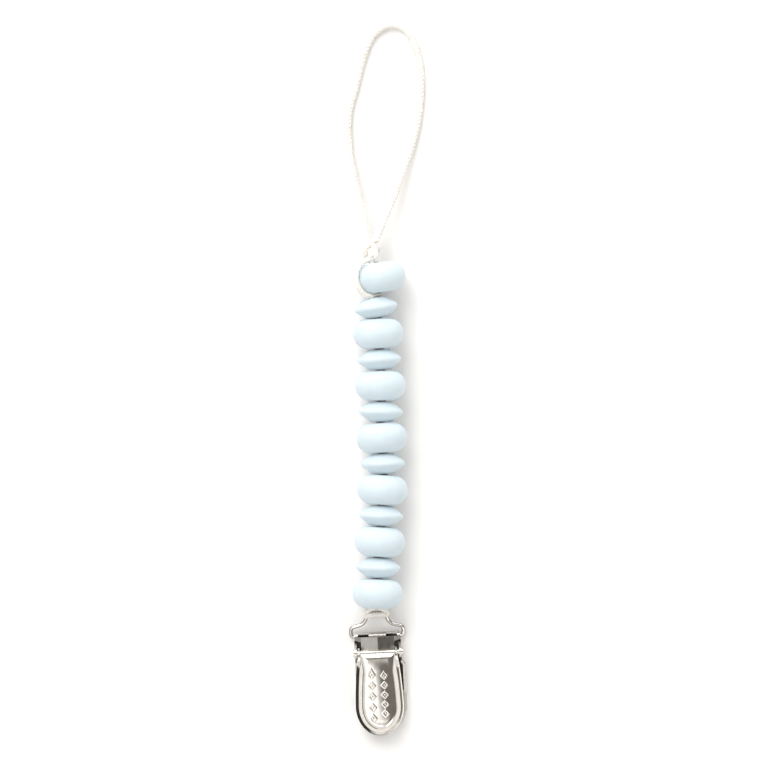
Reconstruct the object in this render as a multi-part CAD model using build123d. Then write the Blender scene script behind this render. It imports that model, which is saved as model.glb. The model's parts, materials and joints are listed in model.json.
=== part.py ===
from build123d import *
import math
import os

# A beaded soother clip lying on its back on a table. It has thirteen silicone beads on a doubled cord,
# a knot and a cord loop at the +Y end, and a spring clip at the -Y end.
# Millimetres, +Z up, the table is z = 0. The origin is under the middle of the object without its loop.

os.makedirs("parts", exist_ok=True)

# ---------------------------------------------------------------- driving dimensions: beads and string
AXIS_Z = 7.0                # height of the string: a large bead's radius
LARGE_R, LARGE_HALF, LARGE_FLAT_R = 7.0, 4.05, 3.6
SMALL_R, SMALL_HALF, SMALL_FLAT_R = 6.0, 2.74, 3.0
SMALL_RIM_R, SMALL_RIM_HALF = 5.4, 0.95    # where the lentil's cone turns into its rounded rim
SMALL_BULGE = 0.2           # how far each cone of the lentil bulges, outwards and along
BORE_R = 1.5
BORE_BEVEL = 0.25
BEAD_GAP = 0.36             # between the flats of two neighbours, along the string
CORE_R = 1.45               # the doubled cord, squeezed into a bore
TOP_BEAD_CENTRE = (0.63, 58.2)
TOP_BEAD_TURN = 9.0         # degrees, seen from above
TOP_HINGE = (-0.93, 52.4)   # where the string bends between the top bead and the first lentil
FIRST_LENTIL_Y = 49.9
CORD_R = 1.0
NECK = 1.2                  # how far the cord stands out of the top bead, towards the knot
SQUEEZED_R = 0.4            # the cord where it is pinched between two beads
HINGE_BALL_R = 1.3          # the round end of each stretch of cord, at a bend
TOP_BALL_R = 1.1            # the string's first one, below the top bead
LAST_BALL_R = 0.7           # the string's last one, close to the hitch on the ring
STRETCH_GAP = 0.1           # between a stretch of cord and the round end of the one above it
# Sideways place of the bends below lentil 1 and each bead after it.
BEND_X = (-0.15, 0.25, 0.6, 0.85, 0.75, 1.3, 1.45, 1.0, 0.75, 0.2, 0.05, -0.2)

# ---------------------------------------------------------------- driving dimensions: clip
# The clip has its own u (across), v (towards the beads) and z. v = 0 is the lever's pivot.
CLIP_PLACE = Location((0, -45.1, 0), (0, 0, 2.6))
CUT = 20                    # length of a cutting or stretching tool that only has to be long enough
SHEET = 0.68                # thickness of the steel sheet
FOLD_V, FOLD_Z = 4.35, 1.25  # axis of the fold, which the ring's ends turn in
FOLD_R, FOLD_BORE_R, FOLD_HALF = 1.25, 0.57, 6.3
PIVOT_Z, PIN_R, PIN_HEAD_R, PIN_HEAD = 4.6, 0.75, 1.1, 0.4
EAR_IN, EAR_OUT, EAR_R = 5.85, 6.45, 1.7
LEFT_OUT, RIGHT_OUT = 6.46, 7.35    # outer faces of the channel's side walls
SIDE_THICK = 0.65
LEVER_SHIFT = -0.15
LEVER_LOW_Z, LEVER_HIGH_Z, LEVER_TAPER = 3.75, 7.55, 26
LEVER_WALL = 0.6
ROUND_END_V, ROUND_END_DEPTH = -14.8, 8.15  # the lever's half-elliptic end
LEVER_TOP_V, LEVER_MIDDLE_V = 0.1, -8.0
LEVER_HALF_TOP, LEVER_HALF_MIDDLE, LEVER_HALF_WIDE = 5.4, 6.3, 6.65
LEVER_EDGE_R = 0.7
BEVEL_V, BEVEL_LOW_Z, BEVEL_HIGH_Z = -1.45, 6.1, 7.7    # the slope at the lever's pivot end
CHEEK_IN, CHEEK_OUT, CHEEK_R = 4.85, 5.4, 1.5
PLAY = 0.05                 # between the pin and the lever
BASE_END_DEPTH = 7.45
JAW_HALF, JAW_THICK, JAW_Z, JAW_END_DEPTH = 4.6, 0.62, 3.88, 6.5
JAW_JOIN_GAP = 0.06
RIDGE_HALF, RIDGE_HEIGHT, RIDGE_LENGTH = 5.3, 0.62, 5.5
PAD_BACK_V, PAD_HALF, PAD_END_DEPTH = -12.6, 4.4, 6.2
BITE_Z = 2.05               # where the two pads meet
TOOTH_PITCH, TOOTH_DEPTH, TOOTH_GAP = 1.2, 0.45, 0.15
WIRE_R = 0.5
RING_LIFT = 24.0            # degrees that the ring rises towards the string
RING_TOP_V = 11.45


# ---------------------------------------------------------------- helpers
def tube(points, radii, radius):
    """A round tube along straight runs joined by arcs."""
    path = FilletPolyline(*points, radius=radii)
    start = Plane(origin=path @ 0, z_dir=path % 0)
    return sweep(start * Circle(radius), path=path)


def free_radii(points):
    """0.45 of the shorter run beside each corner, divided by the tangent of half the turn."""
    radii = []
    for before, here, after in zip(points, points[1:], points[2:]):
        arriving, leaving = Vector(*here) - Vector(*before), Vector(*after) - Vector(*here)
        turn = math.radians(arriving.get_angle(leaving))
        radii.append(0.45 * min(arriving.length, leaving.length) / math.tan(turn / 2))
    return radii


def rod(start, end, radius):
    """A straight round bar between two points."""
    start, end = Vector(*start), Vector(*end)
    return extrude(Plane(origin=start, z_dir=end - start) * Circle(radius), (end - start).length)


def ball(centre, radius):
    return Pos(*centre) * Sphere(radius)


def side_plate(profile, u_low, u_high):
    """A sketch drawn in v and z, given thickness across the clip."""
    return Pos(u_low, 0, 0) * extrude(Plane.YZ * profile, u_high - u_low)


def slab(u_low, u_high, v_low, v_high, z_low, z_high):
    """A plain block between six limits."""
    size = Box(u_high - u_low, v_high - v_low, z_high - z_low)
    return Pos((u_low + u_high) / 2, (v_low + v_high) / 2, (z_low + z_high) / 2) * size


def save(shape, name):
    print(f"{name}: {shape.volume:.2f} mm3, {len(shape.solids())} solid")
    export_step(shape, f"parts/{name}.step")


# ---------------------------------------------------------------- beads, made about the Y axis
def large_bead():
    """A rondelle: two flats joined by one round side."""
    with BuildSketch() as section:
        with BuildLine():
            Line((BORE_R, -LARGE_HALF + BORE_BEVEL), (BORE_R + BORE_BEVEL, -LARGE_HALF))
            Line((BORE_R + BORE_BEVEL, -LARGE_HALF), (LARGE_FLAT_R, -LARGE_HALF))
            ThreePointArc((LARGE_FLAT_R, -LARGE_HALF), (LARGE_R, 0), (LARGE_FLAT_R, LARGE_HALF))
            Line((LARGE_FLAT_R, LARGE_HALF), (BORE_R + BORE_BEVEL, LARGE_HALF))
            Line((BORE_R + BORE_BEVEL, LARGE_HALF), (BORE_R, LARGE_HALF - BORE_BEVEL))
            Line((BORE_R, LARGE_HALF - BORE_BEVEL), (BORE_R, -LARGE_HALF + BORE_BEVEL))
        make_face()
    return revolve(section.sketch, axis=Axis.Y)


def small_bead():
    """A lentil: two slightly bulging cones that meet in a rounded rim."""
    bulge = ((SMALL_FLAT_R + SMALL_RIM_R) / 2 + SMALL_BULGE, (SMALL_HALF + SMALL_RIM_HALF) / 2 + SMALL_BULGE)
    with BuildSketch() as section:
        with BuildLine():
            Line((BORE_R, -SMALL_HALF + BORE_BEVEL), (BORE_R + BORE_BEVEL, -SMALL_HALF))
            Line((BORE_R + BORE_BEVEL, -SMALL_HALF), (SMALL_FLAT_R, -SMALL_HALF))
            ThreePointArc((SMALL_FLAT_R, -SMALL_HALF), (bulge[0], -bulge[1]), (SMALL_RIM_R, -SMALL_RIM_HALF))
            ThreePointArc((SMALL_RIM_R, -SMALL_RIM_HALF), (SMALL_R, 0), (SMALL_RIM_R, SMALL_RIM_HALF))
            ThreePointArc((SMALL_RIM_R, SMALL_RIM_HALF), bulge, (SMALL_FLAT_R, SMALL_HALF))
            Line((SMALL_FLAT_R, SMALL_HALF), (BORE_R + BORE_BEVEL, SMALL_HALF))
            Line((BORE_R + BORE_BEVEL, SMALL_HALF), (BORE_R, SMALL_HALF - BORE_BEVEL))
            Line((BORE_R, SMALL_HALF - BORE_BEVEL), (BORE_R, -SMALL_HALF + BORE_BEVEL))
        make_face()
    return revolve(section.sketch, axis=Axis.Y)


# ---------------------------------------------------------------- where the string bends, from the top down
def string_bends():
    """The bend below each bead, as (x, y) points from the top bead down."""
    turn = math.radians(TOP_BEAD_TURN)
    x, y = TOP_BEAD_CENTRE
    bends = [(x - LARGE_HALF * math.sin(turn), y + LARGE_HALF * math.cos(turn)), TOP_HINGE]
    y = FIRST_LENTIL_Y - SMALL_HALF - BEAD_GAP / 2
    for place, x in enumerate(BEND_X):
        bends.append((x, y))
        half = LARGE_HALF if place % 2 == 0 else SMALL_HALF
        y -= 2 * half + BEAD_GAP
    return bends


BENDS = string_bends()


def bead_name(number):
    """Bead 1 is the top one. Odd ones are large."""
    if number % 2:
        return f"bead_large_{number // 2 + 1}"
    return f"bead_small_{number // 2}"


def save_string():
    """Each bead, and the stretch of cord inside it, which ends in a ball at the bend below the bead."""
    kinds = {1: large_bead(), 0: small_bead()}
    for number in range(1, 14):
        above, below = BENDS[number - 1], BENDS[number]
        if number == 1:
            centre, turn = TOP_BEAD_CENTRE, TOP_BEAD_TURN
        else:
            length = math.dist(above, below)
            down = ((below[0] - above[0]) / length, (below[1] - above[1]) / length)
            half = (LARGE_HALF if number % 2 else SMALL_HALF) + BEAD_GAP / 2
            centre = (below[0] - down[0] * half, below[1] - down[1] * half)
            turn = math.degrees(math.atan2(down[0], -down[1]))
        save(Location((*centre, AXIS_Z), (0, 0, turn)) * kinds[number % 2], bead_name(number))
        if number == 1:
            save(top_core(), "cord_core_01")
            continue
        skipped = HINGE_BALL_R + STRETCH_GAP
        start = (above[0] + down[0] * skipped, above[1] + down[1] * skipped, AXIS_Z)
        end = (*below, AXIS_Z)
        core = rod(start, end, CORE_R) + ball(end, LAST_BALL_R if number == 13 else HINGE_BALL_R)
        save(core, f"cord_core_{number:02d}")


def top_core():
    """The cord through the top bead, and the pinched stretch that leads on to the first lentil."""
    turn = math.radians(TOP_BEAD_TURN)
    along = (-math.sin(turn), math.cos(turn))
    top, bottom = (
        tuple(TOP_BEAD_CENTRE[i] + along[i] * reach for i in range(2))
        for reach in (LARGE_HALF + NECK, -LARGE_HALF)
    )
    core = rod((*bottom, AXIS_Z), (*BENDS[0], AXIS_Z), CORE_R)
    neck = rod((*BENDS[0], AXIS_Z), (*top, AXIS_Z), CORD_R)
    pinched = rod((*bottom, AXIS_Z), (*TOP_HINGE, AXIS_Z), SQUEEZED_R) + ball((*bottom, AXIS_Z), SQUEEZED_R)
    return core + neck + pinched + ball((*TOP_HINGE, AXIS_Z), TOP_BALL_R)


# ---------------------------------------------------------------- knot, side strand and loop
KNOT_CENTRE = (-1.7, 65.4, 7.2)
KNOT_HALF, KNOT_R, KNOT_END_R = 3.0, 2.3, 1.2
KNOT_TURN = 12.0
SIDE_STRAND_R, PINCHED_R = 0.8, 0.45
SIDE_GAP = 0.12
SIDE_AZIMUTH = 36.0         # how far up the bead's left side the strand runs
SIDE_TURNS = (68.0, -58.0)  # where the strand's arc over the bead starts and ends
PINCH_DEPTH = 0.6           # how far below the top bead the pinched stretch lies
LOOP_R = 1.0

# The loop's route: out of the knot, down to the table, round, and back. Chosen by hand.
LOOP_ROUTE = (
    (-2.7, 67.3, 7.2),
    (-3.3, 71.0, 6.9),
    (-4.3, 76.5, 5.7),
    (-6.4, 84.5, 3.6),
    (-8.1, 93.5, 1.6),
    (-8.4, 103.5, 1.0),
    (-6.0, 111.5, 1.0),
    (-4.4, 118.6, 1.0),
    (-1.8, 125.4, 1.0),
    (2.6, 128.6, 1.0),
    (7.5, 127.6, 1.0),
    (10.8, 121.8, 1.0),
    (12.1, 113.6, 1.0),
    (11.6, 104.4, 1.0),
    (9.9, 96.2, 1.3),
    (6.9, 87.6, 2.6),
    (4.0, 79.2, 4.4),
    (0.9, 72.2, 6.5),
    (-0.9, 67.8, 7.2),
)


def knot():
    """The outer shape of the overhand knot: a short barrel with round sides."""
    with BuildSketch() as section:
        with BuildLine():
            Line((0, -KNOT_HALF), (KNOT_END_R, -KNOT_HALF))
            ThreePointArc((KNOT_END_R, -KNOT_HALF), (KNOT_R, 0), (KNOT_END_R, KNOT_HALF))
            Line((KNOT_END_R, KNOT_HALF), (0, KNOT_HALF))
            Line((0, KNOT_HALF), (0, -KNOT_HALF))
        make_face()
    return Location(KNOT_CENTRE, (0, 0, KNOT_TURN)) * revolve(section.sketch, axis=Axis.Y)


def side_strand():
    """The second strand, which passes outside the top bead, close over its upper left side, from the knot
    to the gap below the bead, where it is pinched."""
    side_centre = (LARGE_R**2 - LARGE_FLAT_R**2 - LARGE_HALF**2) / (2 * (LARGE_R - LARGE_FLAT_R))
    reach = LARGE_R - side_centre + SIDE_GAP + SIDE_STRAND_R
    start, end = (
        (side_centre + reach * math.cos(math.radians(turn)), reach * math.sin(math.radians(turn)), 0)
        for turn in SIDE_TURNS
    )
    bend = ThreePointArc(start, (side_centre + reach, 0, 0), end)
    strand = sweep(Plane(origin=bend @ 0, z_dir=bend % 0) * Circle(SIDE_STRAND_R), path=bend)
    strand += ball(start, SIDE_STRAND_R) + rod(start, (1.2, start[1] + 0.9, 0), SIDE_STRAND_R)
    strand += ball(end, SIDE_STRAND_R)
    in_gap = -LARGE_HALF - PINCH_DEPTH
    pinched = (end, (4.3, in_gap, 0), (0.55, in_gap, 0))
    for here, there in zip(pinched, pinched[1:]):
        strand += rod(here, there, PINCHED_R) + ball(there, PINCHED_R)
    place = Location((*TOP_BEAD_CENTRE, AXIS_Z), (0, 0, TOP_BEAD_TURN)) * Rot(0, 180 + SIDE_AZIMUTH, 0)
    return place * strand


# ---------------------------------------------------------------- clip: base, fold, pin
def lever_outline(inset):
    """The lever's outline seen from above: nearly straight sides and a half-elliptic end."""
    wide, top_v = LEVER_HALF_WIDE - inset, LEVER_TOP_V - inset
    with BuildSketch() as outline:
        with BuildLine():
            Line((-LEVER_HALF_TOP + inset, top_v), (LEVER_HALF_TOP - inset, top_v))
            for side in (-1, 1):
                ThreePointArc(
                    (side * (LEVER_HALF_TOP - inset), top_v),
                    (side * (LEVER_HALF_MIDDLE - inset), LEVER_MIDDLE_V),
                    (side * wide, ROUND_END_V),
                )
            EllipticalCenterArc(
                (0, ROUND_END_V), wide, ROUND_END_DEPTH - inset, start_angle=180, arc_size=180
            )
        make_face()
    return outline.sketch


def base_wall(side, out):
    """One wall of the channel, which rises into the ear above the pin."""
    with BuildSketch() as profile:
        with BuildLine():
            Polyline((-EAR_R, PIVOT_Z), (-2.8, 2.3), (-11.6, 1.9), (-12.4, 0), (3.0, 0), (3.0, 1.6),
                     (EAR_R, PIVOT_Z))
            ThreePointArc((EAR_R, PIVOT_Z), (0, PIVOT_Z + EAR_R), (-EAR_R, PIVOT_Z))
        make_face()
    half = ((EAR_IN, 3.2), (EAR_OUT, 3.2), (EAR_OUT, -2.2), (out, -3.6), (out, -12.6),
            (out - SIDE_THICK, -12.6), (out - SIDE_THICK, -3.8), (EAR_IN, -2.4), (EAR_IN, 3.2))
    with BuildSketch() as strip:
        with BuildLine():
            Polyline(*((side * u, v) for u, v in half))
        make_face()
    return extrude(strip.sketch, CUT) & side_plate(profile.sketch, -CUT / 2, CUT / 2)


def clip_base():
    """The back of the clip: a channel with two ears, whose top end is folded over to hold the ring."""
    middle, reach = (RIGHT_OUT - LEFT_OUT) / 2, (RIGHT_OUT + LEFT_OUT) / 2
    with BuildSketch() as plan:
        with BuildLine():
            Polyline((-LEFT_OUT, ROUND_END_V), (-LEFT_OUT, -3.4), (-EAR_OUT, -2.2), (-EAR_OUT, 3.1),
                     (-FOLD_HALF, 3.3), (-FOLD_HALF, FOLD_V), (FOLD_HALF, FOLD_V), (FOLD_HALF, 3.3),
                     (EAR_OUT, 3.1), (EAR_OUT, -2.2), (RIGHT_OUT, -3.4), (RIGHT_OUT, ROUND_END_V))
            EllipticalCenterArc((middle, ROUND_END_V), reach, BASE_END_DEPTH, start_angle=180, arc_size=180)
        make_face()
    floor = extrude(plan.sketch, SHEET)
    walls = base_wall(-1, LEFT_OUT) + base_wall(1, RIGHT_OUT)

    curl = Pos(0, FOLD_V, FOLD_Z) * Rot(0, 90, 0) * (
        Cylinder(FOLD_R, 2 * FOLD_HALF) - Cylinder(FOLD_BORE_R, 2 * FOLD_HALF + 1)
    )
    curl -= slab(-CUT, CUT, FOLD_V - 3, FOLD_V, -1, 4)
    for u_low, u_high in ((-5.4, -2.4), (2.4, 5.4)):
        curl -= slab(u_low, u_high, FOLD_V, FOLD_V + 0.95, FOLD_Z, 4)
    pin_hole = Pos(0, 0, PIVOT_Z) * Rot(0, 90, 0) * Cylinder(PIN_R, CUT)
    return floor + walls + curl - pin_hole


def pivot_pin():
    """The rivet that the lever turns on, with a low head outside each ear."""
    pin = Cylinder(PIN_R, 2 * EAR_OUT)
    for side in (-1, 1):
        pin += Pos(0, 0, side * (EAR_OUT + PIN_HEAD / 2)) * Cylinder(PIN_HEAD_R, PIN_HEAD)
    return Pos(0, 0, PIVOT_Z) * Rot(0, 90, 0) * pin


# ---------------------------------------------------------------- clip: jaws
def tooth_line(z, back_v, front_v):
    """A zigzag of teeth from back_v to front_v, with their roots at z."""
    count = int((back_v - front_v) / TOOTH_PITCH)
    points = []
    for tooth in range(count):
        v = back_v - tooth * TOOTH_PITCH
        points += [(v, z), (v - TOOTH_PITCH / 2, z + TOOTH_DEPTH)]
    points.append((back_v - count * TOOTH_PITCH, z))
    return points


def pad_plan():
    """The pads' outline: straight sides and a half-elliptic front."""
    with BuildSketch() as plan:
        with BuildLine():
            Polyline((-PAD_HALF, ROUND_END_V), (-PAD_HALF, PAD_BACK_V), (PAD_HALF, PAD_BACK_V),
                     (PAD_HALF, ROUND_END_V))
            EllipticalCenterArc((0, ROUND_END_V), PAD_HALF, PAD_END_DEPTH, start_angle=180, arc_size=180)
        make_face()
    return plan.sketch


def pad(z_low, z_high, teeth_up):
    """A plastic pad with teeth across it, on its upper or its lower face."""
    back, front = PAD_BACK_V + 0.4, ROUND_END_V - PAD_END_DEPTH - 0.6
    teeth = tooth_line(BITE_Z if teeth_up else BITE_Z + TOOTH_GAP, back, front)
    edge_z = z_low if teeth_up else z_high
    with BuildSketch() as profile:
        with BuildLine():
            Polyline(*teeth, (teeth[-1][0], edge_z), (teeth[0][0], edge_z), teeth[0])
        make_face()
    return extrude(pad_plan(), CUT) & side_plate(profile.sketch, -CUT / 2, CUT / 2)


def front_jaw():
    """The front leaf: from the fold, under the pin, up over the pads. It has a ridge down its middle."""
    start = FOLD_V - JAW_JOIN_GAP
    low, high = 2 * FOLD_Z - SHEET, 2 * FOLD_Z
    with BuildSketch() as plan:
        with BuildLine():
            Polyline((-JAW_HALF, ROUND_END_V), (-JAW_HALF, 2.9), (-FOLD_HALF, 3.4), (-FOLD_HALF, start),
                     (FOLD_HALF, start), (FOLD_HALF, 3.4), (JAW_HALF, 2.9), (JAW_HALF, ROUND_END_V))
            EllipticalCenterArc((0, ROUND_END_V), JAW_HALF, JAW_END_DEPTH, start_angle=180, arc_size=180)
        make_face()
    with BuildSketch() as profile:
        with BuildLine():
            Polyline((start, low), (start, high), (-1.7, high), (-5.4, JAW_Z + JAW_THICK),
                     (-22, JAW_Z + JAW_THICK), (-22, JAW_Z), (-5.2, JAW_Z), (-1.5, low), (start, low))
        make_face()
    column = extrude(plan.sketch, CUT)
    leaf = column & side_plate(profile.sketch, -CUT / 2, CUT / 2)
    with BuildSketch(Plane.XZ) as ridge:
        Polygon((-RIDGE_HALF, high - 0.1), (0, high + RIDGE_HEIGHT), (RIDGE_HALF, high - 0.1), align=None)
    return leaf + (column & Pos(0, start - 0.1, 0) * extrude(ridge.sketch, RIDGE_LENGTH))


# ---------------------------------------------------------------- clip: lever
def dome(inset, high_z):
    """The space under the lever's outline, with sides that lean in as they rise."""
    lean = (high_z - LEVER_LOW_Z) * math.tan(math.radians(LEVER_TAPER))
    low = Pos(0, 0, LEVER_LOW_Z) * lever_outline(inset)
    high = Pos(0, 0, high_z) * lever_outline(inset + lean)
    return loft([low, high], ruled=True)


def bevel_wedge(below):
    """What the sloping end above the pivot takes off, at a distance below its surface."""
    front, back = 0.6, BEVEL_V - below / 3
    with BuildSketch() as profile:
        corners = ((front, BEVEL_LOW_Z - below), (back, BEVEL_HIGH_Z - below), (back, 9), (front, 9))
        Polygon(*corners, align=None)
    return side_plate(profile.sketch, -CUT / 2, CUT / 2)


def lever():
    """The domed cover: a pressed shell with a flat top, sloping sides and two cheeks on the pin."""
    outer = dome(0, LEVER_HIGH_Z)
    top_edges = outer.faces().sort_by(Axis.Z)[-1].edges()
    outer = fillet(top_edges, LEVER_EDGE_R) - bevel_wedge(0)
    shell = outer - (dome(LEVER_WALL, LEVER_HIGH_Z - LEVER_WALL) - bevel_wedge(LEVER_WALL))
    shell -= slab(-CHEEK_IN, CHEEK_IN, -1.7, 1, 0, PIVOT_Z + PIN_R + 0.12)

    with BuildSketch() as profile:
        with Locations((0, PIVOT_Z)):
            Circle(CHEEK_R)
        with BuildLine():
            Polyline((0, PIVOT_Z + CHEEK_R), (-3.6, PIVOT_Z + 0.9), (-4.6, LEVER_LOW_Z),
                     (0, PIVOT_Z - CHEEK_R), (0, PIVOT_Z + CHEEK_R))
        make_face()
    cheek = side_plate(profile.sketch, CHEEK_IN, CHEEK_OUT)
    shell += cheek + mirror(cheek, Plane.YZ)
    pin_hole = Pos(0, 0, PIVOT_Z) * Rot(0, 90, 0) * Cylinder(PIN_R + PLAY, CUT)
    return Pos(LEVER_SHIFT, 0, 0) * (shell - pin_hole)


# ---------------------------------------------------------------- clip: ring and hitch
def flat_on_ring(v):
    """How far along the tilted ring a point lies that is seen at v from above."""
    return (v - FOLD_V) / math.cos(math.radians(RING_LIFT))


def ring():
    """The bell-shaped wire ring. Its two ends turn inwards into the fold."""
    half = (
        (5.5, 0.0),
        (7.2, 0.0),
        (7.3, flat_on_ring(7.0)),
        (3.3, flat_on_ring(7.9)),
        (2.5, flat_on_ring(RING_TOP_V)),
    )
    points = [(-u, w) for u, w in half] + [(u, w) for u, w in reversed(half)]
    corner_radii = [0.8, 1.35, 2.8, 0.9]
    path = FilletPolyline(*points, radius=corner_radii + corner_radii[::-1])
    wire = sweep(Plane(origin=path @ 0, z_dir=path % 0) * Circle(WIRE_R), path=path)
    return Location((0, FOLD_V, FOLD_Z), (RING_LIFT, 0, 0)) * wire


HITCH_R = 0.8
HITCH_ROUTE = (
    (0.0, 10.75, 5.95),
    (-2.0, 10.85, 5.5),
    (-3.0, 10.5, 4.4),
    (-2.4, 10.2, 3.1),
    (0.0, 10.35, 2.8),
    (2.4, 10.2, 3.1),
    (3.0, 10.5, 4.4),
    (2.0, 10.85, 5.5),
    (0.0, 10.75, 5.95),
)


def hitch():
    """The cord's bight, pulled tight round the neck of the ring."""
    bight = ball(HITCH_ROUTE[0], HITCH_R)
    for here, there in zip(HITCH_ROUTE, HITCH_ROUTE[1:]):
        bight += rod(here, there, HITCH_R) + ball(there, HITCH_R)
    return bight


# ---------------------------------------------------------------- write every piece
save_string()
save(knot(), "knot")
save(side_strand(), "cord_side_strand")

loop_radii = free_radii(LOOP_ROUTE)
print("loop radii:", [round(radius, 1) for radius in loop_radii])
save(tube(LOOP_ROUTE, loop_radii, LOOP_R), "cord_loop")

save(CLIP_PLACE * clip_base(), "clip_base")
save(CLIP_PLACE * pivot_pin(), "pivot_pin")
save(CLIP_PLACE * pad(SHEET, 0, True), "back_pad")
save(CLIP_PLACE * pad(0, JAW_Z, False), "front_pad")
save(CLIP_PLACE * front_jaw(), "front_jaw")
save(CLIP_PLACE * lever(), "lever")
save(CLIP_PLACE * ring(), "wire_ring")
save(CLIP_PLACE * hitch(), "cord_hitch")
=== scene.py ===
"""The looks of a beaded soother clip: silicone beads on a doubled twisted cord that ends in a knotted loop,
and a garment clip."""

import json
import math
import random

import bmesh
import bpy
from mathutils import Matrix, Vector


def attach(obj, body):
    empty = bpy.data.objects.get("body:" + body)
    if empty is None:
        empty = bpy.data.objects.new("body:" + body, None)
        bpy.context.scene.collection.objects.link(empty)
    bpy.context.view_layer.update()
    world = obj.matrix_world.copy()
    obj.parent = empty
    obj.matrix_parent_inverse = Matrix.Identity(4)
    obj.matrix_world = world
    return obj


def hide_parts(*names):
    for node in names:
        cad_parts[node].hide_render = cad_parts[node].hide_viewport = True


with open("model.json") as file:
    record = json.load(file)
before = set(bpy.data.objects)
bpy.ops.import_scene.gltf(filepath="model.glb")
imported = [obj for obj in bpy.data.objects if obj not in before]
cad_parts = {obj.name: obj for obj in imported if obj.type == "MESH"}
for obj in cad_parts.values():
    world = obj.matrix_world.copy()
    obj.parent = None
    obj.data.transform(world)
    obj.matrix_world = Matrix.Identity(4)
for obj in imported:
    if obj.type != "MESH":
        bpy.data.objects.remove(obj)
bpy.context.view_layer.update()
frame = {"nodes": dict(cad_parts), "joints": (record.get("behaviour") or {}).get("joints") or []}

# Routes, profiles and places on the clip are in millimetres. The frame, lamps and camera are in metres.
MM = 0.001
SCENE = bpy.context.scene
NODES = frame["nodes"]
JOINTS = {joint["name"]: joint for joint in frame["joints"]}
DICE = random.Random(11)
UP = Vector((0, 0, 1))


# ---------------------------------------------------------------- small helpers for shader nodes
def new_material(name):
    """A material with shader nodes, and its node tree."""
    material = bpy.data.materials.new(name)
    material.use_nodes = True
    return material, material.node_tree


def node(tree, kind, inputs=None, **settings):
    """A shader node. An input is a number, a colour, or another node's socket."""
    made = tree.nodes.new("ShaderNode" + kind)
    for key, value in settings.items():
        setattr(made, key, value)
    for key, value in (inputs or {}).items():
        if isinstance(value, bpy.types.NodeSocket):
            tree.links.new(value, made.inputs[key])
        else:
            made.inputs[key].default_value = value
    return made


def noise(tree, vector, scale, detail=2.0, roughness=0.5, stretch=None):
    """A noise texture's value. Stretch multiplies the vector along each axis first."""
    if stretch is not None:
        vector = node(tree, "Mapping", {"Vector": vector, "Scale": stretch}).outputs["Vector"]
    inputs = {"Vector": vector, "Scale": scale, "Detail": detail, "Roughness": roughness}
    return node(tree, "TexNoise", inputs).outputs["Fac"]


def ramp(tree, factor, *stops):
    """A colour from the factor, through stops of a position and a colour."""
    made = node(tree, "ValToRGB", {"Fac": factor})
    places = made.color_ramp.elements
    while len(places) < len(stops):
        places.new(0.5)
    for place, (position, colour) in zip(places, stops):
        place.position = position
        place.color = (*colour, 1.0)
    return made.outputs["Color"]


def span(tree, value, low, high, to_low, to_high):
    """The value, moved from one range to another."""
    inputs = {"Value": value, "From Min": low, "From Max": high, "To Min": to_low, "To Max": to_high}
    return node(tree, "MapRange", inputs).outputs["Result"]


def mixed(tree, factor, one, other):
    """A colour between one and the other."""
    inputs = {"Factor": factor, 6: one, 7: other}
    return node(tree, "Mix", inputs, data_type="RGBA").outputs[2]


def bump(tree, height, strength, distance, normal=None):
    """A bumped normal, on top of another one if it is given. Distance is in metres."""
    inputs = {"Height": height, "Strength": strength, "Distance": distance}
    if normal is not None:
        inputs["Normal"] = normal
    return node(tree, "Bump", inputs).outputs["Normal"]


def surface(tree, links, constants):
    """Connects the Principled shader: sockets in links, plain numbers in constants."""
    shader = tree.nodes["Principled BSDF"]
    for key, socket in links.items():
        tree.links.new(socket, shader.inputs[key])
    for key, value in constants.items():
        shader.inputs[key].default_value = value


# ---------------------------------------------------------------- materials
def silicone():
    """Pale blue and matt, with light that carries a little way under its skin."""
    material, tree = new_material("bead_silicone")
    place = node(tree, "TexCoord").outputs["Object"]
    clouds = noise(tree, place, 260.0, 3.0)
    colour = ramp(tree, clouds, (0.3, (0.597, 0.697, 0.753)), (0.7, (0.632, 0.722, 0.775)))
    grain = noise(tree, place, 5200.0, 2.0)
    mottle = noise(tree, place, 900.0, 3.0)
    rough = span(tree, mottle, 0.3, 0.7, 0.44, 0.58)
    normal = bump(tree, mottle, 0.10, 0.0003, bump(tree, grain, 0.16, 0.00008))
    constants = {
        "IOR": 1.41,
        "Subsurface Weight": 0.25,
        "Subsurface Radius": (0.9, 1.0, 1.1),
        "Subsurface Scale": 0.0012,
        "Sheen Weight": 0.12,
        "Sheen Roughness": 0.5,
    }
    surface(tree, {"Base Color": colour, "Roughness": rough, "Normal": normal}, constants)
    return material


def twine():
    """Fine fibres that run along each strand. U goes round a strand and V along it, in millimetres."""
    material, tree = new_material("cord")
    across = node(tree, "TexCoord").outputs["UV"]
    fibres = noise(tree, across, 1.0, 4.0, 0.65, (34.0, 1.1, 1.0))
    broad = noise(tree, across, 1.0, 2.0, 0.5, (5.0, 0.35, 1.0))
    tone = node(tree, "Math", {0: fibres, 1: broad}, operation="MULTIPLY").outputs["Value"]
    dark, middle, light = (0.74, 0.67, 0.59), (0.88, 0.845, 0.79), (0.93, 0.91, 0.875)
    colour = ramp(tree, tone, (0.1, dark), (0.22, middle), (0.38, light))
    rough = span(tree, fibres, 0.3, 0.7, 0.82, 0.6)
    normal = bump(tree, fibres, 0.35, 0.00008)
    constants = {
        "IOR": 1.5,
        "Subsurface Weight": 0.2,
        "Subsurface Radius": (1.0, 0.85, 0.7),
        "Subsurface Scale": 0.0006,
        "Sheen Weight": 0.35,
        "Sheen Roughness": 0.4,
    }
    surface(tree, {"Base Color": colour, "Roughness": rough, "Normal": normal}, constants)
    return material


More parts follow.
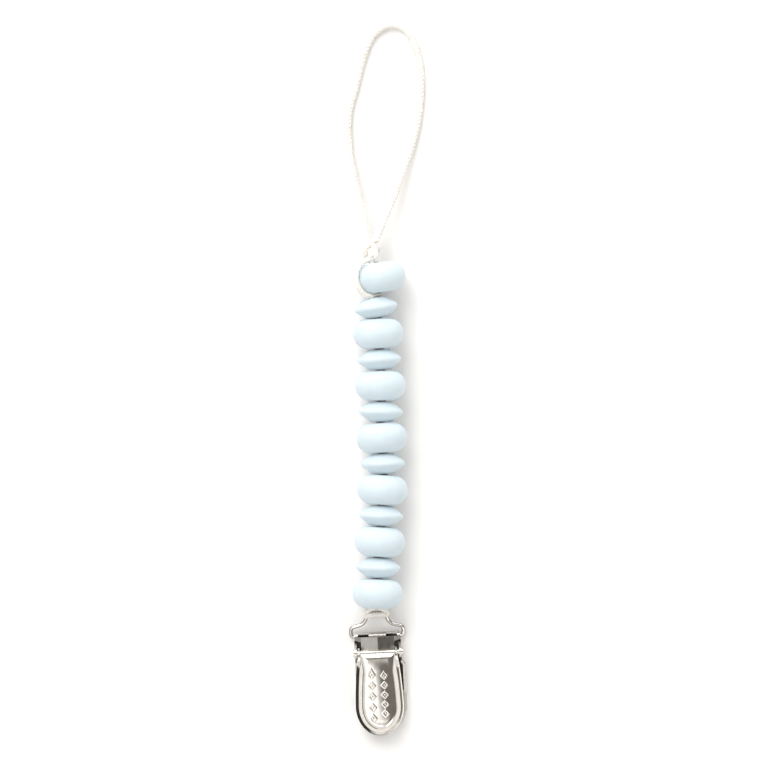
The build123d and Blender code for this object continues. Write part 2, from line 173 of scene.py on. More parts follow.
NICKEL_LOW, NICKEL_HIGH = (0.70, 0.665, 0.61), (0.80, 0.775, 0.735)
SPECK = (0.33, 0.30, 0.25, 1)
# Painted shade: this near-black steel is painted on the lever's lower rim, the wire's flanks and the floor of
# the base's channel.
PAINTED_SHADE = (0.05, 0.045, 0.04, 1)     # steel that hardly any light reaches


def nickel(name, rough_low, rough_high, brushed, dull, shaded=None):
    """Plated steel: drawn lines along the clip, faint waves, and a few dull specks. Shaded names a measure of
    the surface, and between which of its values the steel turns from dark painted shade to bright."""
    material, tree = new_material(name)
    place = node(tree, "TexCoord").outputs["Object"]
    lines = noise(tree, place, 1.0, 3.0, 0.6, (5200.0, 170.0, 3600.0))
    waves = noise(tree, place, 420.0, 2.0)
    specks = noise(tree, place, 2600.0, 4.0, 0.7)
    low, high = ([value * dull for value in colour] for colour in (NICKEL_LOW, NICKEL_HIGH))
    tint = ramp(tree, waves, (0.3, low), (0.7, high))
    specks_and_painted_shade = mixed(tree, span(tree, specks, 0.66, 0.78, 0.0, 0.6), tint, SPECK)
    rough = span(tree, lines, 0.3, 0.7, rough_low, rough_high)
    normal = bump(tree, waves, 0.06, 0.0004, bump(tree, lines, brushed, 0.00002))
    # Painted shade: where the measure is low, the steel turns to the dark painted-shade colour.
    if shaded is not None:
        part, low, high = shaded
        specks_and_painted_shade = mixed(tree, span(tree, part(tree), low, high, 0.0, 1.0), PAINTED_SHADE, specks_and_painted_shade)
    surface(tree, {"Base Color": specks_and_painted_shade, "Roughness": rough, "Normal": normal}, {"Metallic": 1.0})
    return material


def place_of(tree):
    """The x, y and z of a point of a piece."""
    place = node(tree, "TexCoord").outputs["Object"]
    return node(tree, "SeparateXYZ", {"Vector": place}).outputs


def upward(tree):
    """1 where the surface faces straight up or down, and less on its flanks, where the wire gets its painted
    shade.
    """
    facing = node(tree, "TexCoord").outputs["Normal"]
    up = node(tree, "SeparateXYZ", {"Vector": facing}).outputs["Z"]
    return node(tree, "Math", {0: up}, operation="ABSOLUTE").outputs[0]


SHEET = 0.68                # the base's sheet
CHANNEL_END_Y = (-57.5, -55.5)


def channel(tree):
    """How far a point is above or below the floor of the base's channel, and more past the channel's end.
    Painted shade darkens the channel's floor where this is small.
    """
    _, y, z = place_of(tree)
    away = node(tree, "Math", {0: z, 1: SHEET * MM}, operation="SUBTRACT").outputs[0]
    away = node(tree, "Math", {0: away}, operation="ABSOLUTE").outputs[0]
    beyond = span(tree, y, CHANNEL_END_Y[0] * MM, CHANNEL_END_Y[1] * MM, MM, 0.0)
    return node(tree, "Math", {0: away, 1: beyond}, operation="ADD").outputs[0]


def above_rim(tree):
    """How high a point of the lever lies, and a little more on the right, where the rim's painted dark line
    of shade fades.
    """
    x, _, z = place_of(tree)
    faded = span(tree, x, -3 * MM, 0.0, 0.0, 0.5 * MM)
    return node(tree, "Math", {0: z, 1: faded}, operation="ADD").outputs[0]


def moulded():
    """The pads' grey plastic."""
    material, tree = new_material("pad_plastic")
    place = node(tree, "TexCoord").outputs["Object"]
    grain = noise(tree, place, 2400.0, 3.0)
    colour = ramp(tree, grain, (0.3, (0.68, 0.69, 0.69)), (0.7, (0.75, 0.76, 0.76)))
    rough = span(tree, grain, 0.3, 0.7, 0.35, 0.55)
    normal = bump(tree, grain, 0.2, 0.0001)
    constants = {"IOR": 1.49, "Subsurface Weight": 0.1}
    surface(tree, {"Base Color": colour, "Roughness": rough, "Normal": normal}, constants)
    return material


SILICONE = silicone()
TWINE = twine()
# The lever's lowest rim gets painted shade: a dark line below 3.85 mm, fading out towards the right.
POLISHED = nickel("nickel_polished", 0.06, 0.15, 0.05, 1.0, (above_rim, 3.85 * MM, 4.2 * MM))
PLAIN = nickel("nickel_plain", 0.06, 0.15, 0.05, 1.0)
# The wire's flanks get painted shade: they turn dark where they face away from straight up or down.
WIRE = nickel("nickel_wire", 0.08, 0.16, 0.05, 1.0, (upward, 0.45, 0.85))
# The floor of the base's channel gets painted shade, near black, up to the channel's end.
BRUSHED = nickel("nickel_brushed", 0.16, 0.32, 0.35, 0.9, (channel, 0.02 * MM, 0.1 * MM))
DULL = nickel("nickel_dull", 0.2, 0.36, 0.6, 0.42)
MOULDED = moulded()


# ---------------------------------------------------------------- mesh building
SAME_PLACE = 0.001 * MM


class Shell:
    """Collects skins of quads and turns them into one piece."""

    def __init__(self):
        self.points, self.faces, self.uvs = [], [], []

    def skin(self, rows, closed=True, caps=False, stations=None):
        """Quads between rows of as many points each, in metres. Stations are the rows' V in the UVs."""
        first, count = len(self.points), len(rows[0])
        stations = stations or [row / (len(rows) - 1) for row in range(len(rows))]
        for row in rows:
            self.points.extend(row)
        columns = count if closed else count - 1
        for row in range(len(rows) - 1):
            low, high = stations[row], stations[row + 1]
            for column in range(columns):
                here = first + row * count
                there = here + count
                left, right = column, (column + 1) % count
                self.faces.append((here + left, here + right, there + right, there + left))
                start, end = column / columns, (column + 1) / columns
                self.uvs.extend(((start, low), (end, low), (end, high), (start, high)))
        if caps:
            last = first + (len(rows) - 1) * count
            self.faces.append(tuple(range(first + count - 1, first - 1, -1)))
            self.faces.append(tuple(range(last, last + count)))
            self.uvs.extend([(0.5, stations[0])] * count + [(0.5, stations[-1])] * count)

    def piece(self, name, body, material, replaced=(), sharp=35.0, moved=None):
        """The skins as one object that rides on the body. Sharp is in degrees."""
        mesh = bpy.data.meshes.new(name)
        mesh.from_pydata([tuple(point) for point in self.points], [], self.faces)
        layer = mesh.uv_layers.new(name="along")
        for loop, uv in zip(layer.data, self.uvs):
            loop.uv = uv
        work = bmesh.new()
        work.from_mesh(mesh)
        bmesh.ops.remove_doubles(work, verts=work.verts, dist=SAME_PLACE)
        bmesh.ops.recalc_face_normals(work, faces=work.faces)
        work.to_mesh(mesh)
        work.free()
        if moved is not None:
            mesh.transform(moved)
        mesh.polygons.foreach_set("use_smooth", [True] * len(mesh.polygons))
        mesh.set_sharp_from_angle(angle=math.radians(sharp))
        mesh.materials.append(material)
        made = bpy.data.objects.new(name, mesh)
        SCENE.collection.objects.link(made)
        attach(made, body)
        if replaced:
            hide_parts(*replaced)
        return made


def smooth_line(route, per_run=24):
    """The points of the NURBS spline that has this route, in millimetres, as its control points."""
    curve = bpy.data.curves.new("route", "CURVE")
    curve.dimensions = "3D"
    curve.resolution_u = per_run
    spline = curve.splines.new("NURBS")
    spline.points.add(len(route) - 1)
    for control, place in zip(spline.points, route):
        control.co = (*(Vector(place) * MM), 1.0)
    spline.order_u = 3
    spline.use_endpoint_u = True
    holder = bpy.data.objects.new("route", curve)
    SCENE.collection.objects.link(holder)
    mesh = bpy.data.meshes.new_from_object(holder)
    line = [vertex.co.copy() for vertex in mesh.vertices]
    bpy.data.objects.remove(holder)
    bpy.data.curves.remove(curve)
    bpy.data.meshes.remove(mesh)
    return line


def stations_of(line):
    """How far along the line each of its points is."""
    reached = [0.0]
    for before, after in zip(line, line[1:]):
        reached.append(reached[-1] + (after - before).length)
    return reached


def frames_of(line):
    """At each point: the point, the way along, and two directions square to it that don't spin."""
    side = None
    found = []
    for index, point in enumerate(line):
        along = (line[min(index + 1, len(line) - 1)] - line[max(index - 1, 0)]).normalized()
        side = along.orthogonal() if side is None else side - along * side.dot(along)
        side = side.normalized()
        found.append((point, along, side, along.cross(side)))
    return found


STRANDS, STRAND_SIDES, STRAND_SHARE = 3, 12, 0.6
TIGHT_PITCH = 3.0 * MM
SWELL, SWELL_RUN = 0.05, 1.7 * MM


def twist(shell, line, radius, phase=0.0, pitch=3.3 * MM):
    """A twisted cord round the line: strands that wind round each other and swell a little on their way."""
    thick = STRAND_SHARE * radius
    offset = radius - thick
    lean = math.tau * offset / pitch
    reached = stations_of(line)
    circle = [math.tau * corner / STRAND_SIDES for corner in range(STRAND_SIDES)]
    for strand in range(STRANDS):
        wobble = DICE.uniform(0, math.tau)
        rows = []
        for (point, along, side, up), far in zip(frames_of(line), reached):
            turn = phase + math.tau * (strand / STRANDS + far / pitch)
            out = side * math.cos(turn) + up * math.sin(turn)
            forward = (along + along.cross(out) * lean).normalized()
            flat = forward.cross(out)
            strand_r = thick * (1.0 + SWELL * math.sin(wobble + far / SWELL_RUN))
            centre = point + out * offset
            rows.append([
                centre + (out * math.cos(angle) + flat * math.sin(angle)) * strand_r
                for angle in circle
            ])
        shell.skin(rows, caps=True, stations=[far / MM for far in reached])


# ---------------------------------------------------------------- beads
BEADS = 13
BEAD_STEPS = 96
LARGE_R, LARGE_HALF, LARGE_FLAT_R = 7.0, 4.05, 3.6
SMALL_R, SMALL_HALF, SMALL_EDGE_R = 6.0, 2.74, 1.03
BORE_R, MOUTH_R = 1.5, 0.35     # the bore, and the rounding where it opens
SEAM_HEIGHT, SEAM_SPREAD, SEAM_REACH = 0.02, 0.1, 0.3


def arc(centre, radius, start, end, steps):
    """Points of an arc between two angles, in degrees."""
    angles = [math.radians(start + (end - start) * step / steps) for step in range(steps + 1)]
    return [
        (centre[0] + radius * math.cos(angle), centre[1] + radius * math.sin(angle))
        for angle in angles
    ]


def mouth(along):
    """From a bead's face into its bore."""
    return arc((BORE_R + MOUTH_R, along - MOUTH_R), MOUTH_R, 90, 180, 6)


def mirrored(upper):
    """A closed bead profile from its upper half, which goes from the rim to the bore."""
    return [(radius, -along) for radius, along in reversed(upper[1:])] + upper


def large_profile():
    """A rondelle's section, each point as its radius and its place along the bore."""
    middle = (LARGE_R**2 - LARGE_FLAT_R**2 - LARGE_HALF**2) / (2 * (LARGE_R - LARGE_FLAT_R))
    to_flat = math.degrees(math.atan2(LARGE_HALF, LARGE_FLAT_R - middle)) - 2
    side = arc((middle, 0), LARGE_R - middle, 0, to_flat, 30)
    face = [(3.3, LARGE_HALF), (2.9, LARGE_HALF - 0.01), (2.4, LARGE_HALF - 0.03), (2.05, LARGE_HALF - 0.05)]
    return mirrored(side + face + mouth(LARGE_HALF - 0.05))


def small_profile():
    """A lentil's section: a rounded rim, a bulging cone and a small flat face."""
    rim = arc((SMALL_R - SMALL_EDGE_R, 0), SMALL_EDGE_R, 0, 58, 10)
    cone = [(5.2, 1.12), (4.8, 1.42), (4.4, 1.74), (4.0, 2.05), (3.6, 2.33), (3.3, 2.52), (3.08, 2.64)]
    face = [(2.85, SMALL_HALF - 0.02), (2.5, SMALL_HALF), (2.1, SMALL_HALF - 0.01)]
    return mirrored(rim + cone + face + mouth(SMALL_HALF - 0.01))


def seam(radius, along, rim):
    """The radius with the mould's faint parting line added, which stands where the bead is widest."""
    return radius + SEAM_HEIGHT * math.exp(-((along / SEAM_SPREAD) ** 2)) * (radius > rim - SEAM_REACH)


def bead(name, profile, rim):
    """One bead, turned from its profile and set on its own spin joint."""
    joint = JOINTS["spin_of_" + name]
    turns = [math.tau * step / BEAD_STEPS for step in range(BEAD_STEPS)]
    rows = []
    for radius, along in profile + profile[:1]:
        far = seam(radius, along, rim)
        rows.append([Vector((far * math.cos(turn), along, far * math.sin(turn))) * MM for turn in turns])
    shell = Shell()
    shell.skin(rows)
    turned = Vector((0, 1, 0)).rotation_difference(Vector(joint["axis"])).to_matrix().to_4x4()
    moved = Matrix.Translation(joint["pos_m"]) @ turned
    shell.piece(name + "_moulded", name, SILICONE, [name], 50.0, moved)


BEAD_KINDS = (("small", small_profile(), SMALL_R), ("large", large_profile(), LARGE_R))
for number in range(1, BEADS + 1):
    kind, profile, rim = BEAD_KINDS[number % 2]
    bead(f"bead_{kind}_{(number + 1) // 2}", profile, rim)


# ---------------------------------------------------------------- cord inside the beads
PAIR_OUT, PAIR_R = 0.63, 0.72   # each strand's middle from the string's, and its radius
PAIR_STEPS = 40
PAST_ABOVE, PAST_BELOW = 0.1, 0.25


def bend(number):
    """Where the string bends below this bead."""
    return Vector(JOINTS[f"cord_bend_{number:02d}"]["pos_m"]) / MM


def doubled_cord(number):
    """The two strands through one bead, from a little above the bend over it to a little below the next."""
    above, below = bend(number - 1), bend(number)
    down = (below - above).normalized()
    shell = Shell()
    for side in (-1, 1):
        shift = Vector((PAIR_OUT * side, 0, 0))
        start, end = above + shift - down * PAST_ABOVE, below + shift + down * PAST_BELOW
        line = [start.lerp(end, step / PAIR_STEPS) * MM for step in range(PAIR_STEPS + 1)]
        twist(shell, line, PAIR_R * MM, phase=side)
    place = f"{number:02d}"
    shell.piece("doubled_cord_" + place, "link_" + place, TWINE, ["cord_core_" + place])


for number in range(2, BEADS + 1):
    doubled_cord(number)


# ---------------------------------------------------------------- the top bead's two strands
TOP = Vector(JOINTS["spin_of_bead_large_1"]["pos_m"]) / MM
TOP_ALONG = Vector(JOINTS["spin_of_bead_large_1"]["axis"])
ACROSS = Vector((TOP_ALONG.y, -TOP_ALONG.x, 0))
SIDE_RISE = math.radians(36.0)
OUTWARD = -ACROSS * math.cos(SIDE_RISE) + UP * math.sin(SIDE_RISE)
# Beside the top bead, from the knot to the gap below the bead: how far outwards, and how far along the bore.
SIDE_PLACES = (
    (0.2, 5.7),
    (2.2, 5.3),
    (4.6, 5.05),
    (6.9, 3.9),
    (8.2, 1.5),
    (8.25, -1.2),
    (7.1, -3.3),
    (5.4, -4.6),
    (3.6, -4.75),
)
SIDE_R, PINCHED_R = 0.78, 0.45
THROUGH_R, THROUGH_LOW_R = 0.95, 0.5


def by_top_bead(out, along):
    """A place over the top bead's upper left side, from the bead's centre."""
    return TOP + OUTWARD * out + TOP_ALONG * along


def top_bead_cord():
    """The strand through the top bead, with its thin stretch down to the bend."""
    hinge = bend(1)
    low, high = TOP - TOP_ALONG * 3.9, TOP + TOP_ALONG * 5.2
    through = [low - TOP_ALONG * 0.3, TOP, high, high + TOP_ALONG * 0.8 - ACROSS * 0.5]
    shell = Shell()
    twist(shell, smooth_line(through), THROUGH_R * MM)
    twist(shell, smooth_line([low, low.lerp(hinge, 0.5), hinge]), THROUGH_LOW_R * MM)
    shell.piece("top_bead_cord", "link_01", TWINE, ["cord_core_01"])


def side_strand():
    """The strand that passes outside the top bead, with its pinched end in the gap below the bead."""
    route = [by_top_bead(*place) for place in SIDE_PLACES]
    shell = Shell()
    twist(shell, smooth_line(route), SIDE_R * MM, pitch=TIGHT_PITCH)
    twist(shell, smooth_line([route[-2], route[-1], by_top_bead(0.4, -4.6)]), PINCHED_R * MM)
    shell.piece("side_strand_twist", "link_01", TWINE, ["cord_side_strand"])


top_bead_cord()
side_strand()


# ---------------------------------------------------------------- knot
KNOT = Vector((-1.7, 65.4, 7.2))
KNOT_TURN = math.radians(12.0)
KNOT_X = Vector((math.cos(KNOT_TURN), math.sin(KNOT_TURN), 0))
KNOT_Y = Vector((-math.sin(KNOT_TURN), math.cos(KNOT_TURN), 0))
KNOT_CORD_R = 0.84
KNOT_ROUTES = (
    # over the front from the right leg, down the left side, round the back and up the right side
    (
        (0.9, 2.6, 0.2), (0.2, 2.2, 1.1), (-1.1, 1.7, 1.6), (-1.9, 0.5, 1.2), (-1.95, -1.0, 0.5),
        (-1.2, -1.9, -0.9), (0.4, -1.4, -1.6), (1.5, -0.4, -1.0), (1.7, 0.8, 0.1), (0.9, 1.5, 0.6),
    ),
    # from the left leg down the middle of the front and into the bead
    (
        (-1.2, 2.8, -0.2), (-0.5, 2.4, 0.2), (0.5, 1.6, 0.9), (0.95, 0.3, 1.5), (0.85, -1.2, 1.5),
        (0.7, -2.5, 0.8), (1.1, -3.5, 0.0),
    ),
    # beside it, out to the strand that passes the top bead
    (
        (-0.9, 1.2, -0.6), (-0.6, 0.8, 0.8), (-0.35, -0.3, 1.5), (-0.6, -1.5, 1.3), (-1.0, -2.2, 0.9),
        (-0.9, -2.7, 0.7),
    ),
)


def in_knot(places):
    """Places of the knot, from its middle."""
    return [KNOT + KNOT_X * x + KNOT_Y * y + UP * z for x, y, z in places]


shell = Shell()
for phase, route in enumerate(KNOT_ROUTES):
    twist(shell, smooth_line(in_knot(route)), KNOT_CORD_R * MM, phase, TIGHT_PITCH)
shell.piece("knot_twist", "link_01", TWINE, ["knot"])


# ---------------------------------------------------------------- loop
LOOP_ROUTE = (
    (-2.7, 67.3, 7.2), (-3.3, 71.0, 6.9), (-4.3, 76.5, 5.7), (-6.4, 84.5, 3.6), (-8.1, 93.5, 1.6),
    (-8.4, 103.5, 1.0), (-6.0, 111.5, 1.0), (-4.4, 118.6, 1.0), (-1.8, 125.4, 1.0), (2.6, 128.6, 1.0),
    (7.5, 127.6, 1.0), (10.8, 121.8, 1.0), (12.1, 113.6, 1.0), (11.6, 104.4, 1.0), (9.9, 96.2, 1.3),
    (6.9, 87.6, 2.6), (4.0, 79.2, 4.4), (0.9, 72.2, 6.5), (-0.9, 67.8, 7.2),
)
LOOP_R = 1.0 * MM
loop_line = smooth_line(LOOP_ROUTE)
shell = Shell()
twist(shell, loop_line, LOOP_R)
loop = shell.piece("loop_twist", "link_01", TWINE, ["cord_loop"])

HAIRS = 420
HAIR_RADII = (0.018, 0.015, 0.004)      # at its root, its middle and its tip
HAIR_CORNERS = (0.0, 2.1, 4.2)
LOWEST_HAIR = -0.3          # no hair where the cord faces further down than this


def fuzz(shell, line, radius, hairs):
    """Short stray fibres that stand off the cord."""
    frames = frames_of(line)
    for _ in range(hairs):
        point, along, side, up = frames[DICE.randrange(2, len(frames) - 2)]
        turn = DICE.uniform(0, math.tau)
        out = side * math.cos(turn) + up * math.sin(turn)
        if out.z < LOWEST_HAIR:
            continue
        lean = along * DICE.uniform(-1.2, 1.2)
        length = DICE.uniform(0.25, 0.8) * MM
        root = point + out * radius * 0.9
        middle = root + (out * 0.8 + lean).normalized() * length * 0.6
        bent = out * 0.3 + lean * 1.3 + up * DICE.uniform(-0.4, 0.4)
        tip = middle + bent.normalized() * length * 0.5
        rows = []
        for place, thick in zip((root, middle, tip), HAIR_RADII):
            rows.append([
                place + (side * math.cos(corner) + along * math.sin(corner)) * thick * MM
                for corner in HAIR_CORNERS
            ])
        shell.skin(rows, caps=True)


shell = Shell()
fuzz(shell, loop_line, LOOP_R, HAIRS)
shell.piece("loop_fuzz", "link_01", TWINE)


# ---------------------------------------------------------------- the clip's own directions
PIVOT = Vector(JOINTS["clip_lever_hinge"]["pos_m"])
CLIP_U = -Vector(JOINTS["clip_lever_hinge"]["axis"])
CLIP_V = Vector((-CLIP_U.y, CLIP_U.x, 0))
CLIP = Vector((PIVOT.x, PIVOT.y, 0))


def in_clip(u, v, z):
    """A point of the clip, from millimetres across it, towards the beads, and up."""
    return CLIP + (CLIP_U * u + CLIP_V * v) * MM + UP * (z * MM)


# ---------------------------------------------------------------- hitch on the ring
NECK_R, BAR_R = 0.7, 0.8
# The right half of the turn round the ring's neck, from the string down and under.
HITCH_HALF = (
    (0.6, 13.1, 7.0),
    (1.2, 12.2, 6.9),
    (2.4, 11.8, 6.2),
    (3.0, 11.1, 5.1),
    (3.0, 10.4, 4.0),
    (2.1, 10.1, 2.9),
    (0.5, 10.1, 2.6),
)
OVER_THE_BAR = (
    (-3.0, 10.2, 3.6),
    (-2.5, 10.5, 4.9),
    (-1.0, 10.6, 5.4),
    (1.0, 10.6, 5.4),
    (2.5, 10.5, 4.9),
    (3.0, 10.2, 3.6),
)


def clip_line(places):
    """A smooth line through places of the clip."""
    return smooth_line([in_clip(*place) / MM for place in places])


shell = Shell()
left = [(-u, v, z) for u, v, z in HITCH_HALF]
twist(shell, clip_line(left + list(reversed(HITCH_HALF))), NECK_R * MM, pitch=TIGHT_PITCH)
twist(shell, clip_line(OVER_THE_BAR), BAR_R * MM, 1.0, TIGHT_PITCH)
shell.piece("hitch_twist", "ring", TWINE, ["cord_hitch"])


# ---------------------------------------------------------------- lever
LOW_Z, HIGH_Z, WALL = 3.75, 7.55, 0.6
TOP_V = 0.1                 # the pivot end
TIP_V, TIP_HALF, TIP_DEPTH = -14.8, 6.65, 8.15
WIDTHS = ((TOP_V, 5.4), (-8.0, 6.3), (TIP_V, TIP_HALF))
SHIFT_U = -0.15
SIDE_STEPS, TIP_STEPS, TOP_STEPS, INNER_STEPS = 110, 44, 64, 12
END_LOW_Z = 6.6             # the lower edge above the pivot, where the pin passes under
END_RUN = 2.9               # over how much of each side the edge turns into the pivot end's slope
RISE_RUN = 4.2              # over how much of each side the lower edge rises to the pivot end
# The pressed edge from the rim inwards, as control points: the inset of the sides, the inset of the pivot
# end, and the share of the height. The rim itself turns up a little.
EDGE = (
    (0.0, 0.0, 0.01),
    (0.42, 0.03, 0.0),
    (0.6, 0.05, 0.02),
    (0.8, 0.1, 0.34),
    (1.25, 0.7, 0.66),
    (1.95, 1.2, 0.88),
    (2.7, 1.6, 0.99),
    (3.2, 1.95, 1.0),
)
EDGE_STEPS = 6
# The same for the sheet's inner side, from the plateau out to the rim.
INNER_EDGE = ((3.2, 1.95, 1.0), (2.2, 1.6, 0.97), (1.3, 0.9, 0.4), (0.9, 0.4, 0.05), (0.4, 0.1, 0.0))
CROWN_HEIGHT, CROWN_V, CROWN_REACH = 0.36, -10.3, 9.4
# Each column of the motif: its place across, the pitch of its diamonds, and where the first one starts.
MOTIF_COLUMNS = ((-1.95, 3.0, -4.4), (1.6, 2.6, -4.9))
MOTIF_COUNT, MOTIF_HEIGHT, MOTIF_HALF, MOTIF_SHARE = 5, 0.1, 1.15, 0.46
OUTLINE_AT, OUTLINE_HALF, STUD = 0.76, 0.3, 0.32    # shares of a diamond's size
PIVOT_Z, CHEEK_R, HOLE_R, CHEEK_WALLS = 4.6, 1.5, 0.8, (4.85, 5.4)
# The cheek's edge from above the pin back along the lever and down to the front of the pin, in v and z.
CHEEK_EDGE = (
    (0.3, 6.35), (-0.4, 6.7), (-1.2, 6.7), (-2.4, 6.4), (-3.6, 5.6), (-4.1, 4.6), (-4.6, 3.85), (-3.4, 3.6),
    (-2.2, 3.42), (-1.1, 3.24),
)


def half_width(v):
    """The lever's half width, on the parabola through three of its widths."""
    total = 0.0
    for here, width in WIDTHS:
        share = width
        for other, _ in WIDTHS:
            if other != here:
                share *= (v - other) / (here - other)
        total += share
    return total


def outline(inset):
    """The lever's outline, inset: down the right side, round the tip and up the left side."""
    right = []
    for step in range(SIDE_STEPS):
        v = TOP_V - inset + (TIP_V - TOP_V + inset) * step / SIDE_STEPS
        right.append((half_width(v) - inset, v))
    quarter = [math.pi * step / (2 * TIP_STEPS) for step in range(TIP_STEPS + 1)]
    tip = [
        (math.cos(angle) * (TIP_HALF - inset), TIP_V - math.sin(angle) * (TIP_DEPTH - inset))
        for angle in quarter
    ]
    half = right + tip
    return half + [(-u, v) for u, v in reversed(half[:-1])]


def top_edge(inset):
    """Along the pivot end, from the left corner to the right, without the corners."""
    v = TOP_V - inset
    reach = half_width(v) - inset
    return [(-reach + 2 * reach * step / TOP_STEPS, v) for step in range(1, TOP_STEPS)]


def spline_2(controls, steps):
    """A quadratic B-spline through the ends of its control polygon."""
    inner = controls[1:-1]
    halfway = [tuple((a + b) / 2 for a, b in zip(here, there)) for here, there in zip(inner, inner[1:])]
    knots = [controls[0], *halfway, controls[-1]]
    found = []
    for start, middle, end in zip(knots, inner, knots[1:]):
        for step in range(steps):
            t = step / steps
            found.append(tuple(
                (1 - t) ** 2 * a + 2 * t * (1 - t) * b + t * t * c for a, b, c in zip(start, middle, end)
            ))
    return found + [controls[-1]]


def ease(value):
    """0 up to 0 and 1 from 1 on, with a smooth way between."""
    value = max(0.0, min(1.0, value))
    return value * value * (3 - 2 * value)


def low_z(v):
    """The lever's lower edge rises towards the pivot end."""
    return LOW_Z + (END_LOW_Z - LOW_Z) * ease((v + RISE_RUN) / RISE_RUN)


def near_end(v):
    """1 at the pivot end, and 0 further down the sides, where v is measured along the rim."""
    return ease((v - TOP_V + END_RUN) / END_RUN)


def crown(u, v):
    """How far the pressed top stands above its edge."""
    reach = max(half_width(min(v, 0.0)) - EDGE[-1][0], 0.5)
    along = (v - CROWN_V) / CROWN_REACH
    return CROWN_HEIGHT * max(0.0, 1.0 - (u / reach) ** 2) * max(0.0, 1.0 - along * along)


def motif(u, v):
    """Two columns of small raised diamonds, each with a stud in it, pressed into the top."""
    height = 0.0
    for column, pitch, first in MOTIF_COLUMNS:
        count = (first - v) / pitch
        if 0 < count < MOTIF_COUNT:
            place = (count % 1 - 0.5) * pitch
            rim = abs(u - column) / MOTIF_HALF + abs(place) / (MOTIF_SHARE * pitch)
            line = MOTIF_HEIGHT * ease(1.0 - abs(rim - OUTLINE_AT) / OUTLINE_HALF)
            height = max(height, line, MOTIF_HEIGHT * ease(1.0 - rim / STUD))
    return height


def pressed(u, v):
    """The height of the top. Its crown starts gently from the plateau's edge at either end."""
    first, last = TOP_V - EDGE[-1][0], TIP_V - TIP_DEPTH + EDGE[-1][0]
    return HIGH_Z + crown(u, v) * ease((first - v) / 2.0) * ease((v - last) / 1.5) + motif(u, v)


def ring(side_inset, end_inset, share, deeper=0.0):
    """One ring of the sheet's outer side, or of its inner side, which lies deeper."""
    top = HIGH_Z - deeper
    moved = side_inset - end_inset
    places = []
    for u, v in outline(side_inset):
        foot = low_z(v + side_inset)
        places.append((u, v + moved * near_end(v + side_inset), foot + (top - foot) * share))
    for u, v in top_edge(side_inset):
        places.append((u, v + moved, END_LOW_Z + (top - END_LOW_Z) * share))
    return [in_clip(SHIFT_U + u, v, z) for u, v, z in places]


def cover(height, columns):
    """Rows across the top, from the pivot end to the tip. Height is a function of the place."""
    side_inset, end_inset, _ = EDGE[-1]
    edge = outline(side_inset)
    rows = []
    for (right_u, v), (left_u, _) in zip(edge[: len(edge) // 2 + 1], reversed(edge)):
        moved = v + (side_inset - end_inset) * near_end(v + side_inset)
        across = [left_u + (right_u - left_u) * column / columns for column in range(columns + 1)]
        rows.append([in_clip(SHIFT_U + u, moved, height(u, v)) for u in across])
    return rows


def cheek(side):
    """The cheek with the pin's hole, as rows round its section that close on themselves."""
    turns = [math.radians(degrees) for degrees in range(-90, 46, 9)]
    contour = [(CHEEK_R * math.cos(turn), PIVOT_Z + CHEEK_R * math.sin(turn)) for turn in turns]
    contour += CHEEK_EDGE
    angles = [math.atan2(z - PIVOT_Z, v) for v, z in contour]
    hole = [(HOLE_R * math.cos(angle), PIVOT_Z + HOLE_R * math.sin(angle)) for angle in angles]
    inner, outer = CHEEK_WALLS
    return [
        [in_clip(SHIFT_U + side * wall, v, z) for v, z in points]
        for wall, points in ((inner, hole), (inner, contour), (outer, contour), (outer, hole), (inner, hole))
    ]


def lever():
    """The pressed sheet: its edge and top, the same inside, the rim between them, and two cheeks."""
    shell = Shell()
    shell.skin([ring(*place) for place in spline_2(EDGE, EDGE_STEPS)])
    shell.skin(cover(pressed, TOP_STEPS), closed=False)
    shell.skin([ring(*place, WALL) for place in INNER_EDGE])
    shell.skin(cover(lambda u, v: HIGH_Z - WALL, INNER_STEPS), closed=False)
    shell.skin([ring(*INNER_EDGE[-1], WALL), ring(*EDGE[0])])
    for side in (-1, 1):
        shell.skin(cheek(side))
    shell.piece("lever_pressed", "lever", POLISHED, ["lever"], 40.0)


lever()


# ---------------------------------------------------------------- materials of the CAD pieces that stay
for name, material in (
    ("wire_ring", WIRE),
    ("pivot_pin", PLAIN),
    ("clip_base", BRUSHED),
    ("front_jaw", DULL),
    ("back_pad", MOULDED),
    ("front_pad", MOULDED),
):
    mesh = NODES[name].data
    mesh.materials.clear()
    mesh.materials.append(material)


# ---------------------------------------------------------------- floor, light and camera
FLOOR_REACH = 12.0
FLOOR_DROP = 0.03 * MM      # just under the object, so that their faces don't meet


def floor():
    """A plain pale table, matt."""
    material, tree = new_material("table_top")
    place = node(tree, "TexCoord").outputs["Object"]
    clouds = noise(tree, place, 3.0, 3.0)
    colour = ramp(tree, clouds, (0.3, (0.875, 0.868, 0.858)), (0.7, (0.89, 0.884, 0.876)))
    surface(tree, {"Base Color": colour}, {"Roughness": 0.85, "Specular IOR Level": 0.2})
    mesh = bpy.data.meshes.new("table_top")
    corners = [(FLOOR_REACH * x, FLOOR_REACH * y, 0) for x, y in ((-1, -1), (1, -1), (1, 1), (-1, 1))]
    mesh.from_pydata(corners, [], [(0, 1, 2, 3)])
    mesh.materials.append(material)
    made = bpy.data.objects.new("table_top", mesh)
    made.location.z = -FLOOR_DROP
    SCENE.collection.objects.link(made)


PALE, PANELLED = (0.755, 0.743, 0.727, 1), (1.25, 1.245, 1.235, 1)
BAND_DARK, WALL_DARK = (0.165, 0.158, 0.142, 1), (0.10, 0.095, 0.09, 1)
SKY_STRENGTH = 1.25


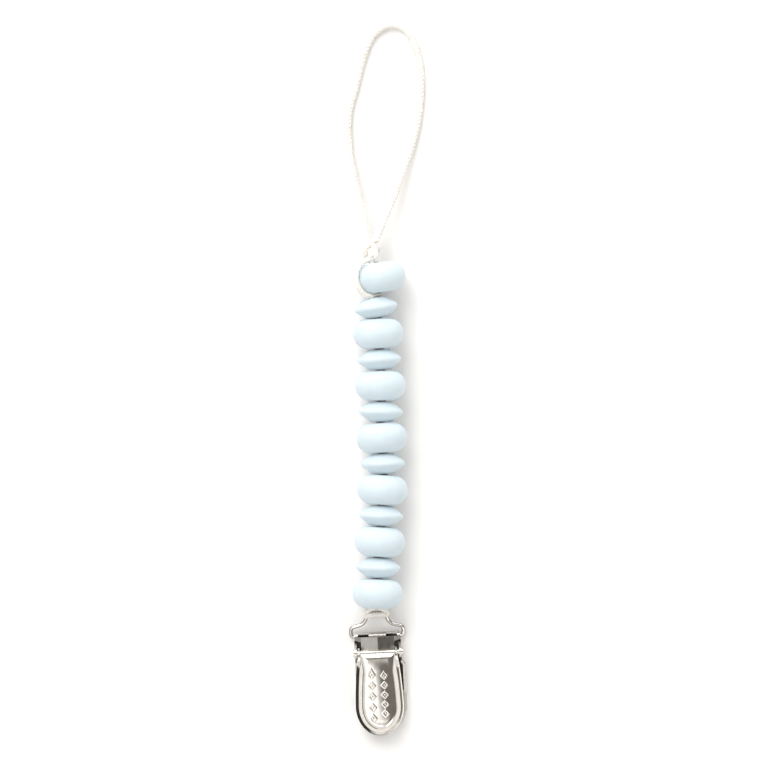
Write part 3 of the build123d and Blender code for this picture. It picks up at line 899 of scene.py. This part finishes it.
def sky():
    """A pale studio. Polished metal shows its dark band, which runs from overhead down to the right, the
    bright panels left of overhead and behind the beads, and a dark wall low on the left."""
    world = bpy.data.worlds.new("studio")
    world.use_nodes = True
    SCENE.world = world
    tree = world.node_tree
    way = node(tree, "TexCoord").outputs["Generated"]
    x, y, z = node(tree, "SeparateXYZ", {"Vector": way}).outputs

    def smooth(value, low, high, to_low=0.0, to_high=1.0):
        inputs = {"Value": value, "From Min": low, "From Max": high, "To Min": to_low, "To Max": to_high}
        return node(tree, "MapRange", inputs, interpolation_type="SMOOTHSTEP").outputs[0]

    def times(one, other, operation="MULTIPLY"):
        return node(tree, "Math", {0: one, 1: other}, operation=operation).outputs[0]

    slanted = times(x, times(y, 0.45), "ADD")
    between = times(smooth(y, 0.35, 0.5, 1.0, 0.0), smooth(y, -0.45, -0.3))
    band = times(times(smooth(slanted, -0.12, 0.14), between), smooth(z, 0.1, 0.4))
    overhead = times(smooth(slanted, -0.04, -0.15), smooth(z, 0.7, 0.85))
    panel = times(overhead, smooth(y, 0.5, 0.65), "MAXIMUM")
    low_left = times(smooth(z, 0.12, 0.32, 1.0, 0.0), smooth(x, -0.1, -0.3))
    wall = times(low_left, smooth(y, 0.3, 0.6, 1.0, 0.0))
    colour = mixed(tree, panel, PALE, PANELLED)
    colour = mixed(tree, band, colour, BAND_DARK)
    colour = mixed(tree, wall, colour, WALL_DARK)
    tree.links.new(colour, tree.nodes["Background"].inputs["Color"])
    tree.nodes["Background"].inputs["Strength"].default_value = SKY_STRENGTH


LIT_PLACE = Vector((0, 0.03, 0))


def lamp(name, place, size, power, colour):
    """A round soft light, aimed at the middle of the object."""
    light = bpy.data.lights.new(name, "AREA")
    light.shape = "DISK"
    light.size = size
    light.energy = power
    light.color = colour
    made = bpy.data.objects.new(name, light)
    made.location = place
    made.rotation_euler = (LIT_PLACE - Vector(place)).to_track_quat("-Z", "Y").to_euler()
    SCENE.collection.objects.link(made)


CAMERA_PLACE = (0.00165, 0.0289, 1.2)
SEEN_WIDTH, SEEN_HEIGHT = 0.2112, 0.007     # how much the view takes in, and at which height above the table


def camera():
    """Straight above the object, looking down, with the clip at the bottom of the view."""
    data = bpy.data.cameras.new("camera")
    data.sensor_width = 36.0
    data.lens = data.sensor_width * (CAMERA_PLACE[2] - SEEN_HEIGHT) / SEEN_WIDTH
    data.clip_start, data.clip_end = 0.05, 50.0
    made = bpy.data.objects.new("camera", data)
    made.location = CAMERA_PLACE
    SCENE.collection.objects.link(made)
    SCENE.camera = made


floor()
sky()
lamp("key", (-0.5, 1.0, 1.1), 1.0, 12.3, (1.0, 0.968, 0.934))
lamp("fill_behind", (0.85, 0.95, 0.8), 0.7, 2.4, (1.0, 0.98, 0.95))
lamp("fill_before", (0.8, -0.95, 0.8), 0.7, 2.0, (1.0, 0.96, 0.92))
camera()
SCENE.view_settings.view_transform = "Standard"
